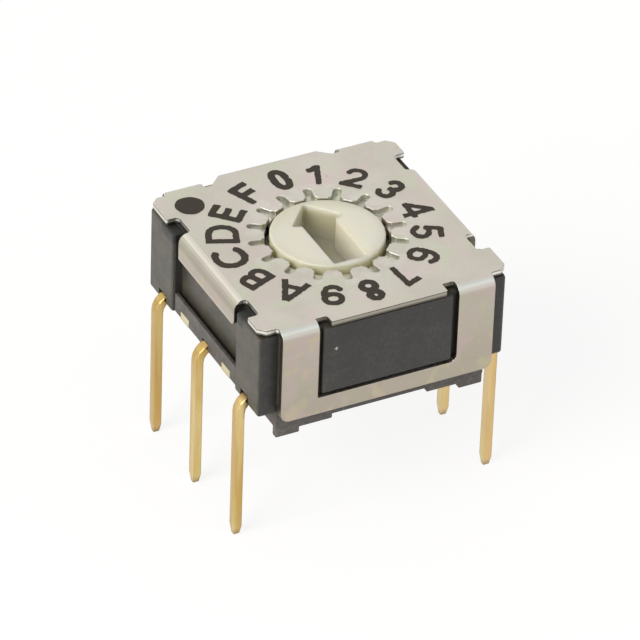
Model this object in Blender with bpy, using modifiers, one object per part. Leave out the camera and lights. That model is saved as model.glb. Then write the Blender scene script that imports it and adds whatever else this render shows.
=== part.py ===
# Sixteen position rotary dip switch for through holes, modelled in metres with +Z up.
# The origin is under the middle of the body, on the plane of the pin tips.
# The window sides of the cover face -Y and +Y, the two rows of pins stand at -X and +X.

import math

import bmesh
import bpy
from mathutils import Matrix

for old in list(bpy.data.objects):
    bpy.data.objects.remove(old, do_unlink=True)

MM = 0.001

# Driving sizes in millimetres

LONG = 7.36                   # over the two side flanges, along X
WIDE = 7.44                   # over the two window frames, along Y
PLATE_TOP = 7.13              # top face of the cover above the pin tips
POSITIONS = 16

# Clearances
FIT = 0.02                    # between pieces that are seated on each other
SNAP_GAP = 0.14               # pads of the housing in the windows of the cover
HOLE_GAP = 0.14               # rotor knob in the hole of the cover
BORE_GAP = 0.08               # rotor in the bore of the housing
EYE_GAP = 0.12                # eye of the contact spring round the pivot

# Cover, folded from sheet
SHEET = 0.16
BEND = 0.27                   # outer radius of the folds
CORNER_BACK = 0.32            # edge of the plate behind the face of a frame
CORNER_CUT = 0.20             # cut corners of the plate
LEG_BACK = 0.53               # outer edge of a frame leg from the end of the plate
LEG_WIDE = 1.08
FRAME_BOTTOM = 4.24
FRAME_ROUND = 0.26            # lower corners of the frame
BAR_HEIGHT = 0.51             # bar below the window
WINDOW_ROUND = (0.06, 0.20)   # lower corners of the window, left and right
TONGUE = 1.72                 # half of the plate edge between the inner notches
TONGUE_CUT = 0.24             # cut corners of the rear one
NOTCH_BACK = (0.31, 0.37)     # notches left and right of a tongue, behind the frame face
FLANGE_SPAN = (1.56, 1.86)    # ends of a side flange from the middle, left and right end
FLANGE_DROP = 0.78            # from the plate top down to the flange edge
FLANGE_ROUND = (0.05, 0.18)   # lower corners of a flange, left and right
SIDE_NOTCH = 0.78             # length of the notch beside a flange
SIDE_NOTCH_DEEP = 0.36        # its depth from the side of the plate
NOTCH_ROUND = 0.13
CUT_ROUND = 0.05              # corners left by the punch
FOLD_STEPS = 5

# Detent grooves pressed into the cover round the rotor
GROOVE_HALF = 0.12
GROOVE_DEEP = 0.17
GROOVE_LONG = 0.49            # from the hole to the round end
GROOVE_MOUTH = 0.07           # how much wider a groove opens at the hole
GROOVE_WALL = 0.08            # sheet left beside and below a groove

# Rotor
KNOB_R = 1.57
KNOB_PROUD = 0.04             # above the plate
KNOB_EDGE = 0.04
FLANGE_WIDE = 0.85            # step from the knob out to the wide part
FLANGE_TOP = 6.50
SEAL_TOP = 6.10               # groove for the ring seal
SEAL_DEEP = 0.37
ROTOR_FOOT = 5.44             # underside of the wide part
HUB_R = 1.40
HUB_BOTTOM = 5.22
SLOT_DEEP = 1.00
ARROW_TIP = 1.43
ARROW_FLAT = 0.05             # half width of the blunt tip
ARROW_BARB = 0.63             # where the barbs are, from the centre
ARROW_HALF = 0.76
ARROW_NECK = 0.52
SHAFT_HALF = 0.50
SHAFT_END = 1.40
SLOT_ROUND = 0.04
STUD_R = 0.12                 # studs that carry the two springs
WIPER_STUD_AT = 0.81

# Housing
WALL_BACK = 0.30              # side wall behind the faces of the posts
WALL_STEP = 0.08              # end wall behind the faces of the posts
POST_BOTTOM = 4.34
WALL_BOTTOM = 4.44
POST_IN = 1.93                # inner end of a post, from the middle
POST_DROP = 0.09              # post tops below the cover
POST_EDGE = 0.08
PAD_BACK = 0.03               # pads behind the faces of the frames
PAD_EDGE = 0.05
LEAD_NOTCH = 0.07             # beside a lead where it passes under a post

# Base with moulded leads
BASE_X = 3.10
BASE_BOTTOM = 3.82
FOOT_BOTTOM = 3.50
STEP_BOTTOM = 3.67
FOOT_IN = 2.39                # inner end of a foot
STEP_IN = 1.42                # inner end of the step beside a foot
FOOT_LONG = 0.22
STEP_LONG = 0.90
FOOT_EDGE = 0.04
RIM_BACK = 0.06               # rim behind the faces of the posts
RIM_WALL = 0.10
RIM_TOP = 5.00
RIM_FLOOR = 4.80
RIM_BOTTOM = 4.42
RIM_END_GAP = 0.05            # between the rim and a post
PIVOT_R = 0.30
PIVOT_TOP = 5.45

# Leads
LEAD_T = 0.22
LEAD_TOP = 4.62
PIN_HALF = 0.15
PIN_PITCH = 2.54
ROW = 7.62
PIN_BEND = 0.58
TIP_LONG = 0.30
TIP_HALF = 0.07
TIE_HALF = 0.25
TIE_AT = 1.27                 # tie bar ends stand midway between the pins
PAD_IN = 1.25                 # contact pads, radii and ends in degrees
PAD_OUT = 2.20
PAD_FROM = 22.0
PAD_TO = 68.0
NECK = 0.35                   # width of the web between a pad and its pin
COMMON_R = 1.05
COMMON_HALF = 0.25

# Springs
DETENT_T = 0.08
DETENT_BACK = 0.13            # ring behind the knob's side and the wide part's side
BUMP_WIDE = 0.18
BUMP_TOP_HALF = 0.05
BUMP_FOOT_HALF = 0.30
BUMP_RISE = 0.10              # how far a bump reaches above the pressed ribs
WIPER_T = 0.08
WIPER_R = 1.15
WIPER_EAR = 1.95
WIPER_EAR_HALF = 0.32
ARM_HALF = 0.14
ARM_LONG = (0.80, 0.62)       # arms to the code pads and to the common pad
ARM_TIP = 0.12                # upturned end of an arm past its contact point
CODE_TRACK = 1.74
COMMON_TRACK = 0.74

GRAIN = 1e-8                  # lattice of the vertices, in metres
ROUND_STEPS = 64
SMALL_STEPS = 20
ROOT = 0.40                   # how far a shape reaches into the one it is joined to
BEYOND = 1.00                 # how far a cutter reaches past what it cuts

# Values that follow

COVER_X = LONG / 2
COVER_Y = WIDE / 2
CORNER_Y = COVER_Y - CORNER_BACK
LEG_OUT = COVER_X - LEG_BACK
LEG_IN = LEG_OUT - LEG_WIDE
SILL = FRAME_BOTTOM + BAR_HEIGHT
PLATE_UNDER = PLATE_TOP - SHEET
RIB_BOTTOM = PLATE_UNDER - GROOVE_DEEP
STEP_ANGLE = 2 * math.pi / POSITIONS
HOLE_R = KNOB_R + HOLE_GAP
GROOVE_END = HOLE_R + GROOVE_LONG
ROTOR_R = KNOB_R + FLANGE_WIDE
BORE_R = ROTOR_R + BORE_GAP
SEAL_ROOT_R = ROTOR_R - SEAL_DEEP
SEAL_WIRE = BORE_R - SEAL_ROOT_R - 2 * FIT
DETENT_IN = KNOB_R + DETENT_BACK
DETENT_OUT = ROTOR_R - DETENT_BACK
BUMP_R = (DETENT_IN + DETENT_OUT) / 2
BODY_X = COVER_X - FIT        # half widths over the posts
BODY_Y = CORNER_Y - FIT
WALL_X = BODY_X - WALL_BACK
WALL_Y = BODY_Y - WALL_STEP
PANEL_X = LEG_OUT - 2.5 * FIT
PANEL_Y = COVER_Y - SHEET - 2 * FIT
PAD_FACE = COVER_Y - PAD_BACK
HOUSING_TOP = PLATE_UNDER - FIT
HOUSING_BOTTOM = LEAD_TOP + FIT
POST_TOP = PLATE_UNDER - POST_DROP
BASE_Y = BODY_Y - FIT
RIM_X = BODY_X - RIM_BACK
RIM_HALF = POST_IN - RIM_END_GAP
TIE_END = RIM_X               # tie bar ends are cut flush with the rim
PIN_OUT = ROW / 2 + LEAD_T / 2
PIN_IN = ROW / 2 - LEAD_T / 2
LEAD_BOTTOM = LEAD_TOP - LEAD_T
LEAD_REACH = PIN_OUT - PIN_BEND

parts = bpy.data.collections.new("rotary_dip_switch")
bpy.context.scene.collection.children.link(parts)
tools = bpy.data.collections.new("cutters")
bpy.context.scene.collection.children.link(tools)


# Materials

def material(name, colour, roughness, metallic=0.0):
    mat = bpy.data.materials.new(name)
    mat.use_nodes = True
    shader = mat.node_tree.nodes["Principled BSDF"]
    shader.inputs["Base Color"].default_value = (*colour, 1.0)
    shader.inputs["Roughness"].default_value = roughness
    shader.inputs["Metallic"].default_value = metallic
    return mat


STEEL = material("cover_steel", (0.56, 0.53, 0.49), 0.42, 1.0)
MOULDING = material("housing_moulding", (0.075, 0.075, 0.070), 0.55)
BASE_MOULDING = material("base_moulding", (0.090, 0.082, 0.086), 0.60)
CREAM = material("rotor_cream", (0.74, 0.71, 0.58), 0.42)
GOLD = material("gold_plate", (0.80, 0.58, 0.26), 0.28, 1.0)
SPRING = material("spring_steel", (0.50, 0.49, 0.47), 0.30, 1.0)
RUBBER = material("seal_rubber", (0.020, 0.020, 0.020), 0.75)


# Modelling helpers, all of which take millimetres

def add(name, mesh, target):
    obj = bpy.data.objects.new(name, mesh)
    target.objects.link(obj)
    return obj


def box(name, x, y, z, target=None):
    """Block between three pairs of limits."""
    mesh = bpy.data.meshes.new(name)
    bm = bmesh.new()
    bmesh.ops.create_cube(bm, size=1.0)
    size = [(b - a) * MM for a, b in (x, y, z)]
    centre = [(a + b) / 2 * MM for a, b in (x, y, z)]
    bmesh.ops.scale(bm, vec=size, verts=bm.verts)
    bmesh.ops.translate(bm, vec=centre, verts=bm.verts)
    bm.to_mesh(mesh)
    bm.free()
    return add(name, mesh, target or tools)


PLANES = {
    "XY": Matrix.Identity(4),
    "XZ": Matrix(((1, 0, 0, 0), (0, 0, -1, 0), (0, 1, 0, 0), (0, 0, 0, 1))),
    "YZ": Matrix(((0, 0, 1, 0), (1, 0, 0, 0), (0, 1, 0, 0), (0, 0, 0, 1))),
}


def prism(name, outlines, low, high, plane="XY", target=None):
    """Flat outline drawn as a 2D curve in a plane and extruded along the plane's normal."""
    curve = bpy.data.curves.new(name, "CURVE")
    curve.dimensions = "2D"
    curve.fill_mode = "BOTH"
    curve.extrude = (high - low) / 2 * MM
    for outline in outlines:
        line = curve.splines.new("POLY")
        line.points.add(len(outline) - 1)
        for point, (u, v) in zip(line.points, outline):
            point.co = (u * MM, v * MM, 0.0, 1.0)
        line.use_cyclic_u = True
    drawn = add(name + "_outline", curve, tools)
    middle = (low + high) / 2 * MM
    if plane == "XZ":
        middle = -middle
    drawn.matrix_world = PLANES[plane] @ Matrix.Translation((0, 0, middle))
    bpy.context.view_layer.update()
    ready = drawn.evaluated_get(bpy.context.evaluated_depsgraph_get())
    mesh = bpy.data.meshes.new_from_object(ready)
    mesh.transform(drawn.matrix_world)
    bpy.data.objects.remove(drawn, do_unlink=True)
    bm = bmesh.new()
    bm.from_mesh(mesh)
    bmesh.ops.remove_doubles(bm, verts=bm.verts, dist=1e-7)
    bmesh.ops.recalc_face_normals(bm, faces=bm.faces)
    bm.to_mesh(mesh)
    bm.free()
    return add(name, mesh, target or tools)


def turned(name, profile, steps=ROUND_STEPS, closed=False, target=None):
    """Profile of radius and height turned about Z."""
    mesh = bpy.data.meshes.new(name)
    verts = [(r * MM, 0.0, z * MM) for r, z in profile]
    count = len(verts)
    edges = [(i, i + 1) for i in range(count - 1)]
    if closed:
        edges.append((count - 1, 0))
    mesh.from_pydata(verts, edges, [])
    obj = add(name, mesh, target or tools)
    screw = obj.modifiers.new("turn", "SCREW")
    screw.axis = "Z"
    screw.steps = steps
    screw.render_steps = steps
    screw.use_merge_vertices = True
    screw.merge_threshold = 1e-7
    screw.use_normal_calculate = True
    return obj


def cylinder(name, radius, low, high, centre=(0.0, 0.0), steps=SMALL_STEPS, target=None):
    mesh = bpy.data.meshes.new(name)
    bm = bmesh.new()
    bmesh.ops.create_cone(bm, cap_ends=True, segments=steps, radius1=radius * MM,
                          radius2=radius * MM, depth=(high - low) * MM)
    at = (centre[0] * MM, centre[1] * MM, (low + high) / 2 * MM)
    bmesh.ops.translate(bm, vec=at, verts=bm.verts)
    bm.to_mesh(mesh)
    bm.free()
    return add(name, mesh, target or tools)


def settled(mesh):
    """Puts every vertex on a fine lattice, so that faces meant to lie in one plane do."""
    bm = bmesh.new()
    bm.from_mesh(mesh)
    for vert in bm.verts:
        vert.co = [round(c / GRAIN) * GRAIN for c in vert.co]
    bmesh.ops.remove_doubles(bm, verts=bm.verts, dist=GRAIN / 2)
    bmesh.ops.triangulate(bm, faces=bm.faces)
    bm.to_mesh(mesh)
    bm.free()
    return mesh


def fixed(obj):
    """Takes the result of the modifiers into the mesh."""
    bpy.context.view_layer.update()
    ready = obj.evaluated_get(bpy.context.evaluated_depsgraph_get())
    mesh = bpy.data.meshes.new_from_object(ready)
    obj.modifiers.clear()
    obj.data = settled(mesh)
    return obj


def open_edges(mesh):
    bm = bmesh.new()
    bm.from_mesh(mesh)
    count = sum(1 for edge in bm.edges if len(edge.link_faces) != 2)
    bm.free()
    return count


def combine(obj, other, operation):
    """Boolean taken into the mesh at once, with the exact solver wherever that stays closed."""
    fixed(obj)
    fixed(other)
    before = obj.data
    for solver in ("EXACT", "MANIFOLD"):
        obj.data = before
        mod = obj.modifiers.new(other.name, "BOOLEAN")
        mod.operation = operation
        mod.solver = solver
        mod.object = other
        fixed(obj)
        if open_edges(obj.data) == 0:
            break
    bpy.data.objects.remove(other, do_unlink=True)
    return obj


def cut(obj, other):
    return combine(obj, other, "DIFFERENCE")


def fuse(obj, other):
    return combine(obj, other, "UNION")


def keep(obj, other):
    return combine(obj, other, "INTERSECT")


def soften(obj, width, steps=2, angle=40.0):
    mod = obj.modifiers.new("edges", "BEVEL")
    mod.width = width * MM
    mod.segments = steps
    mod.limit_method = "ANGLE"
    mod.angle_limit = math.radians(angle)
    mod.use_clamp_overlap = True
    return obj


def ring_of(name, obj, angles):
    """One mesh that holds a copy of a small solid at each angle about Z."""
    source = fixed(obj).data
    bm = bmesh.new()
    for angle in angles:
        before = len(bm.verts)
        bm.from_mesh(source)
        bm.verts.ensure_lookup_table()
        bmesh.ops.rotate(bm, cent=(0, 0, 0), matrix=Matrix.Rotation(angle, 3, "Z"),
                         verts=bm.verts[before:])
    mesh = bpy.data.meshes.new(name)
    bm.to_mesh(mesh)
    bm.free()
    bpy.data.objects.remove(obj, do_unlink=True)
    return add(name, mesh, tools)


def polar(radius, degrees):
    angle = math.radians(degrees)
    return (radius * math.cos(angle), radius * math.sin(angle))


def arc(centre, radius, start, end, steps):
    """Points on an arc, angles in degrees."""
    points = []
    for i in range(steps + 1):
        a = math.radians(start + (end - start) * i / steps)
        points.append((centre[0] + radius * math.cos(a), centre[1] + radius * math.sin(a)))
    return points


def rounded(points, radii, steps=4):
    """Closed outline with its corners rounded, one radius for each corner."""
    result = []
    count = len(points)
    for i, (px, py) in enumerate(points):
        radius = radii[i] if isinstance(radii, (list, tuple)) else radii
        ax, ay = points[i - 1]
        bx, by = points[(i + 1) % count]
        la = math.hypot(ax - px, ay - py)
        lb = math.hypot(bx - px, by - py)
        ua = ((ax - px) / la, (ay - py) / la)
        ub = ((bx - px) / lb, (by - py) / lb)
        cosine = max(-1.0, min(1.0, ua[0] * ub[0] + ua[1] * ub[1]))
        half = math.acos(cosine) / 2
        if radius <= 0 or half > 1.55:
            result.append((px, py))
            continue
        run = min(radius / math.tan(half), 0.48 * la, 0.48 * lb)
        radius = run * math.tan(half)
        across = radius / math.sin(half)
        mx, my = ua[0] + ub[0], ua[1] + ub[1]
        ml = math.hypot(mx, my)
        cx, cy = px + mx / ml * across, py + my / ml * across
        start = math.atan2(py + ua[1] * run - cy, px + ua[0] * run - cx)
        end = math.atan2(py + ub[1] * run - cy, px + ub[0] * run - cx)
        sweep = (end - start + math.pi) % (2 * math.pi) - math.pi
        for k in range(steps + 1):
            a = start + sweep * k / steps
            result.append((cx + radius * math.cos(a), cy + radius * math.sin(a)))
    return result


def grown(outline, by):
    """Closed outline moved outwards along its normals."""
    area = sum(a[0] * b[1] - b[0] * a[1] for a, b in zip(outline, outline[1:] + outline[:1]))
    side = 1.0 if area > 0 else -1.0
    result = []
    count = len(outline)
    for i, (px, py) in enumerate(outline):
        ax, ay = outline[i - 1]
        bx, by_ = outline[(i + 1) % count]
        la = math.hypot(px - ax, py - ay)
        lb = math.hypot(bx - px, by_ - py)
        n1 = (side * (py - ay) / la, -side * (px - ax) / la)
        n2 = (side * (by_ - py) / lb, -side * (bx - px) / lb)
        scale = by / (1 + n1[0] * n2[0] + n1[1] * n2[1])
        result.append((px + (n1[0] + n2[0]) * scale, py + (n1[1] + n2[1]) * scale))
    return result


def finish(obj, name, mat, smooth=35.0):
    """Names a finished piece, puts it in the part's collection and gives it its material."""
    bm = bmesh.new()
    bm.from_mesh(fixed(obj).data)
    bmesh.ops.dissolve_limit(bm, angle_limit=math.radians(0.3), verts=bm.verts, edges=bm.edges)
    bm.to_mesh(obj.data)
    bm.free()
    obj.name = name
    obj.data.name = name
    for group in list(obj.users_collection):
        group.objects.unlink(obj)
    parts.objects.link(obj)
    obj.hide_render = False
    obj.display_type = "TEXTURED"
    obj.data.materials.clear()
    obj.data.materials.append(mat)
    obj.data.shade_smooth()
    obj.data.set_sharp_from_angle(angle=math.radians(smooth))
    return obj


# Cover

def folded(name, edge, low, high, drop, plane):
    """Strip of sheet over a fold and down, drawn as seen along its fold line."""
    centre = (edge - BEND, PLATE_TOP - BEND)
    outline = arc(centre, BEND, 90, 0, FOLD_STEPS)
    outline += [(edge, drop), (edge - SHEET, drop)]
    outline += arc(centre, BEND - SHEET, 0, 90, FOLD_STEPS)
    return prism(name, [outline], low, high, plane)


def turned_round(obj):
    """Copy of a piece on the other side of the part."""
    mesh = fixed(obj).data.copy()
    mesh.transform(Matrix.Rotation(math.pi, 4, "Z"))
    return add(obj.name + "_opposite", mesh, tools)


def window_frame():
    frame = folded("frame", COVER_Y, -LEG_OUT, LEG_OUT, FRAME_BOTTOM, "YZ")
    high = PLATE_TOP + SHEET
    outside = rounded([(-LEG_OUT, high), (-LEG_OUT, FRAME_BOTTOM), (LEG_OUT, FRAME_BOTTOM),
                       (LEG_OUT, high)], [0, FRAME_ROUND, FRAME_ROUND, 0])
    keep(frame, prism("frame_outside", [outside], 0.0, COVER_Y + SHEET, "XZ"))
    window = rounded([(-LEG_IN, high), (-LEG_IN, SILL), (LEG_IN, SILL), (LEG_IN, high)],
                     [0, WINDOW_ROUND[1], WINDOW_ROUND[0], 0])
    inside = COVER_Y - BEND - SHEET
    cut(frame, prism("frame_window", [window], inside, COVER_Y + SHEET, "XZ"))
    return frame


def side_flange():
    """Flange at +X, its left end (seen from outside) towards -Y."""
    lower = PLATE_TOP - FLANGE_DROP
    left, right = -FLANGE_SPAN[0], FLANGE_SPAN[1]
    flange = folded("flange", COVER_X, left, right, lower, "XZ")
    high = PLATE_TOP + SHEET
    shape = rounded([(left, high), (left, lower), (right, lower), (right, high)],
                    [0, FLANGE_ROUND[0], FLANGE_ROUND[1], 0])
    return keep(flange, prism("flange_outside", [shape], 0.0, COVER_X + SHEET, "YZ"))


def plate_quarter(flange_end, tongue_cut, notch_deep):
    """Edge of the plate from the middle of a flange round a corner to a tongue's middle."""
    fold_x = COVER_X - BEND
    fold_y = COVER_Y - BEND
    notch_x = COVER_X - SIDE_NOTCH_DEEP
    notch_end = flange_end + SIDE_NOTCH
    tongue_y = COVER_Y - FIT
    small = CUT_ROUND
    quarter = [(0.0, 0.0, 0.0), (fold_x, 0.0, 0.0), (fold_x, flange_end, 0.0),
               (notch_x, flange_end + small, NOTCH_ROUND), (notch_x, notch_end, NOTCH_ROUND),
               (COVER_X, notch_end, small), (COVER_X, CORNER_Y - CORNER_CUT, small),
               (COVER_X - CORNER_CUT, CORNER_Y, small), (LEG_OUT + small, CORNER_Y, 0.0),
               (LEG_OUT, fold_y, 0.0), (LEG_IN, fold_y, 0.0), (LEG_IN, notch_deep, small),
               (TONGUE + 0.5 * tongue_cut, notch_deep, small),
               (TONGUE - tongue_cut, tongue_y, small), (0.0, tongue_y, 0.0)]
    closed = rounded([(x, y) for x, y, r in quarter], [r for x, y, r in quarter])
    return closed[1:]


def plate_outline():
    """Whole edge: the flanges are set off their middle the same way round."""
    left, right = FLANGE_SPAN
    shallow, deep = (COVER_Y - back for back in NOTCH_BACK)
    corners = [((1, 1), right, TONGUE_CUT, shallow), ((-1, 1), left, TONGUE_CUT, deep),
               ((-1, -1), right, 0.0, shallow), ((1, -1), left, 0.0, deep)]
    loop = []
    for (sx, sy), flange_end, tongue_cut, notch_deep in corners:
        quarter = plate_quarter(flange_end, tongue_cut, notch_deep)
        part = [(sx * x, sy * y) for x, y in quarter]
        if sx * sy < 0:
            part.reverse()
        loop += [point for point in part if not loop or math.dist(point, loop[-1]) > 1e-6]
    if math.dist(loop[0], loop[-1]) < 1e-6:
        loop.pop()
    return loop


def flutes(name, half, end, mouth, low, high):
    """Radial solids with round outer ends at the grooves of all the positions."""
    side = [(HOLE_R - 2 * SHEET, half + mouth, 0.0)]
    if mouth:
        opening = HOLE_R + 0.5 * mouth
        side += [(opening, half + mouth, 0.5 * mouth), (opening + mouth, half, 0.5 * mouth)]
    side.append((end, half, 0.9 * half))
    corners = side + [(x, -y, r) for x, y, r in reversed(side)]
    outline = rounded([(x, y) for x, y, r in corners], [r for x, y, r in corners], 3)
    flute = prism(name + "_one", [outline], low, high)
    angles = [(i + 0.5) * STEP_ANGLE for i in range(POSITIONS)]
    return ring_of(name, flute, angles)


def make_cover():
    cover = prism("plate", [plate_outline()], PLATE_UNDER, PLATE_TOP)
    frame = window_frame()
    fuse(cover, turned_round(frame))
    fuse(cover, frame)
    flange = side_flange()
    fuse(cover, turned_round(flange))
    fuse(cover, flange)
    fuse(cover, flutes("ribs", GROOVE_HALF + GROOVE_WALL, GROOVE_END + GROOVE_WALL, 0.0,
                       RIB_BOTTOM, PLATE_UNDER + 0.5 * SHEET))
    cut(cover, flutes("grooves", GROOVE_HALF, GROOVE_END, GROOVE_MOUTH,
                      PLATE_TOP - GROOVE_DEEP, PLATE_TOP + SHEET))
    cut(cover, cylinder("rotor_hole", HOLE_R, RIB_BOTTOM - SHEET, PLATE_TOP + SHEET,
                        steps=ROUND_STEPS))
    return finish(cover, "cover", STEEL)


# Rotor

def arrow_outline():
    right = [(ARROW_FLAT, ARROW_TIP), (ARROW_HALF, ARROW_BARB), (SHAFT_HALF, ARROW_NECK),
             (SHAFT_HALF, -SHAFT_END)]
    left = [(-x, y) for x, y in reversed(right)]
    return rounded(right + left, SLOT_ROUND, 3)


def make_rotor():
    top = PLATE_TOP + KNOB_PROUD
    seal_low = SEAL_TOP - SEAL_WIRE - 2 * FIT
    shoulder = 0.3 * KNOB_EDGE
    profile = [(0.0, top), (KNOB_R - KNOB_EDGE, top), (KNOB_R - shoulder, top - shoulder),
               (KNOB_R, top - KNOB_EDGE), (KNOB_R, FLANGE_TOP), (ROTOR_R, FLANGE_TOP),
               (ROTOR_R, SEAL_TOP), (SEAL_ROOT_R, SEAL_TOP), (SEAL_ROOT_R, seal_low),
               (ROTOR_R, seal_low), (ROTOR_R, ROTOR_FOOT), (HUB_R, ROTOR_FOOT),
               (HUB_R, HUB_BOTTOM), (0.0, HUB_BOTTOM)]
    rotor = turned("rotor_turned", profile)
    cut(rotor, prism("arrow_slot", [arrow_outline()], top - SLOT_DEEP, top + SLOT_DEEP))
    cut(rotor, cylinder("pivot_recess", PIVOT_R + 2 * FIT, HUB_BOTTOM - BEYOND,
                        PIVOT_TOP + FIT))
    for i, side in enumerate((-1, 1)):
        fuse(rotor, cylinder(f"detent_stud_{i}", STUD_R, FLANGE_TOP - SHEET,
                             FLANGE_TOP + FIT + DETENT_T, (0.0, side * BUMP_R)))
        fuse(rotor, cylinder(f"wiper_stud_{i}", STUD_R, HUB_BOTTOM - FIT - WIPER_T,
                             HUB_BOTTOM + SHEET, (0.0, side * WIPER_STUD_AT)))
    return finish(rotor, "rotor", CREAM)


def make_seal():
    middle = SEAL_TOP - FIT - SEAL_WIRE / 2
    centre = SEAL_ROOT_R + FIT + SEAL_WIRE / 2
    wire = arc((centre, middle), SEAL_WIRE / 2, 90, -270, 12)[:-1]
    seal = turned("seal", wire, 40, closed=True)
    return finish(seal, "o_ring", RUBBER)


def make_detent_spring():
    low = FLANGE_TOP + FIT
    high = low + DETENT_T
    ring = turned("detent_ring", [(DETENT_OUT, high), (DETENT_OUT, low), (DETENT_IN, low),
                                  (DETENT_IN, high)], 48, closed=True)
    crest = RIB_BOTTOM + BUMP_RISE
    inner = BUMP_R - BUMP_WIDE
    outer = BUMP_R + BUMP_WIDE
    for i, side in enumerate((-1, 1)):
        near, far = sorted((side * inner, side * outer))
        cut(ring, box(f"bump_opening_{i}", (near - FIT, far + FIT),
                      (-BUMP_FOOT_HALF, BUMP_FOOT_HALF), (low - BEYOND, high + BEYOND)))
        foot = BUMP_FOOT_HALF + DETENT_T
        thin = DETENT_T
        shape = [(-foot, low), (-BUMP_FOOT_HALF + thin, low), (-BUMP_TOP_HALF, crest - thin),
                 (BUMP_TOP_HALF, crest - thin), (BUMP_FOOT_HALF - thin, low), (foot, low),
                 (foot, high), (BUMP_FOOT_HALF, high), (BUMP_TOP_HALF, crest),
                 (-BUMP_TOP_HALF, crest), (-BUMP_FOOT_HALF, high), (-foot, high)]
        radii = [0, 0, thin * 0.4, thin * 0.4, 0, 0, 0, 0, thin * 0.8, thin * 0.8, 0, 0]
        fuse(ring, prism(f"bump_{i}", [rounded(shape, radii, 3)], near, far, "YZ"))
        cut(ring, cylinder(f"spring_hole_{i}", STUD_R + FIT, low - BEYOND, high + BEYOND,
                           (0.0, side * BUMP_R)))
    return finish(ring, "detent_spring", SPRING)


def wiper_arm(name, track, start, length, side, high):
    """Arm that drops from the wiper plate to the pads and ends in a rounded contact."""
    low = LEAD_TOP + FIT
    thin = WIPER_T
    reach = start + length
    tip = 0.5 * ARM_TIP
    shape = [(start - thin, high), (start, high), (reach - 3 * tip, low + thin),
             (reach - tip, low + thin), (reach + tip, low + 2 * thin + tip / 3),
             (reach + 2 * tip, low + 2 * thin - tip / 3), (reach, low + tip / 3),
             (reach - thin, low), (reach - 3 * tip, low), (start - tip / 3, high - thin),
             (start - thin, high - thin)]
    shape = [(side * u, v) for u, v in shape]
    return prism(name, [shape], track - ARM_HALF, track + ARM_HALF, "YZ")


def make_contact_spring():
    high = HUB_BOTTOM - FIT
    low = high - WIPER_T
    ear = WIPER_EAR_HALF
    reach = math.sqrt(WIPER_R ** 2 - ear ** 2)
    right = math.degrees(math.asin(ear / WIPER_R))
    outline = [(reach, -ear), (WIPER_EAR, -ear), (WIPER_EAR, ear)]
    outline += arc((0, 0), WIPER_R, right, 180 - right, 12)
    outline += [(-WIPER_EAR, ear), (-WIPER_EAR, -ear)]
    outline += arc((0, 0), WIPER_R, 180 + right, 360 - right, 12)[:-1]
    plate = prism("wiper_plate", [outline], low, high)
    cut(plate, cylinder("wiper_eye", PIVOT_R + EYE_GAP, low - BEYOND, high + BEYOND))
    code_long, common_long = ARM_LONG
    for i, side in enumerate((-1, 1)):
        fuse(plate, wiper_arm(f"code_arm_{i}", side * CODE_TRACK, ear, code_long, side, high))
        cut(plate, cylinder(f"wiper_hole_{i}", STUD_R + FIT, low - BEYOND, high + BEYOND,
                            (0.0, side * WIPER_STUD_AT)))
    half = ARM_HALF + 0.5 * WIPER_T
    start = -0.5 * common_long
    cut(plate, box("common_opening", (COMMON_TRACK - half, COMMON_TRACK + half),
                   (start, -start + 2 * ARM_TIP), (low - BEYOND, high + BEYOND)))
    fuse(plate, wiper_arm("common_arm", COMMON_TRACK, start, common_long, 1, high))
    return finish(plate, "contact_spring", GOLD)


# Leads

def pin_solid(name, side, row, inner):
    """Leg of a lead: out of the base, over a bend and down to a tapered tip."""
    bend = (PIN_OUT - PIN_BEND, LEAD_TOP - PIN_BEND)
    taper = (LEAD_T / 2 - TIP_HALF) * 0.8
    shape = [(inner, LEAD_TOP)]
    shape += arc(bend, PIN_BEND, 90, 0, 5)
    shape += [(PIN_OUT, TIP_LONG), (PIN_OUT - taper, 0.0), (PIN_IN + taper, 0.0),
              (PIN_IN, TIP_LONG)]
    shape += arc(bend, PIN_BEND - LEAD_T, 0, 90, 4)
    shape += [(inner, LEAD_BOTTOM)]
    if side < 0:
        shape = [(-u, v) for u, v in shape]
    leg = prism(name, [shape], row - PIN_HALF, row + PIN_HALF, "XZ")
    high = LEAD_TOP + BEYOND
    front = rounded([(row - PIN_HALF, high), (row - PIN_HALF, TIP_LONG), (row - TIP_HALF, 0.0),
                     (row + TIP_HALF, 0.0), (row + PIN_HALF, TIP_LONG), (row + PIN_HALF, high)],
                    [0.0, LEAD_T, 0.5 * TIP_HALF, 0.5 * TIP_HALF, LEAD_T, 0.0], 3)
    low, high = sorted((side * (inner - BEYOND), side * (PIN_OUT + BEYOND)))
    keep(leg, prism(name + "_front", [front], low, high, "YZ"))
    return fixed(leg)


def code_outline(sx, sy, reach, tie):
    """Contact pad with its web, its tie bar end and the root of its pin."""
    near = PIN_PITCH - PIN_HALF
    far = PIN_PITCH + PIN_HALF
    web = PAD_IN + NECK
    pad_end = math.cos(math.radians(PAD_TO)) * PAD_OUT
    low, high = TIE_AT - TIE_HALF, TIE_AT + TIE_HALF
    shape = [(tie, low), (tie, high), (web + NECK, high), (web, high + NECK), (web, near),
             (reach, near), (reach, far), (pad_end + NECK, far),
             (pad_end + NECK, PAD_OUT - NECK)]
    shape.append(polar(PAD_OUT, PAD_TO))
    shape += arc((0, 0), PAD_IN, PAD_TO, PAD_FROM, 6)
    shape += [polar(PAD_OUT, PAD_FROM), (PAD_OUT, low)]
    return [(sx * x, sy * y) for x, y in shape]


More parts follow.
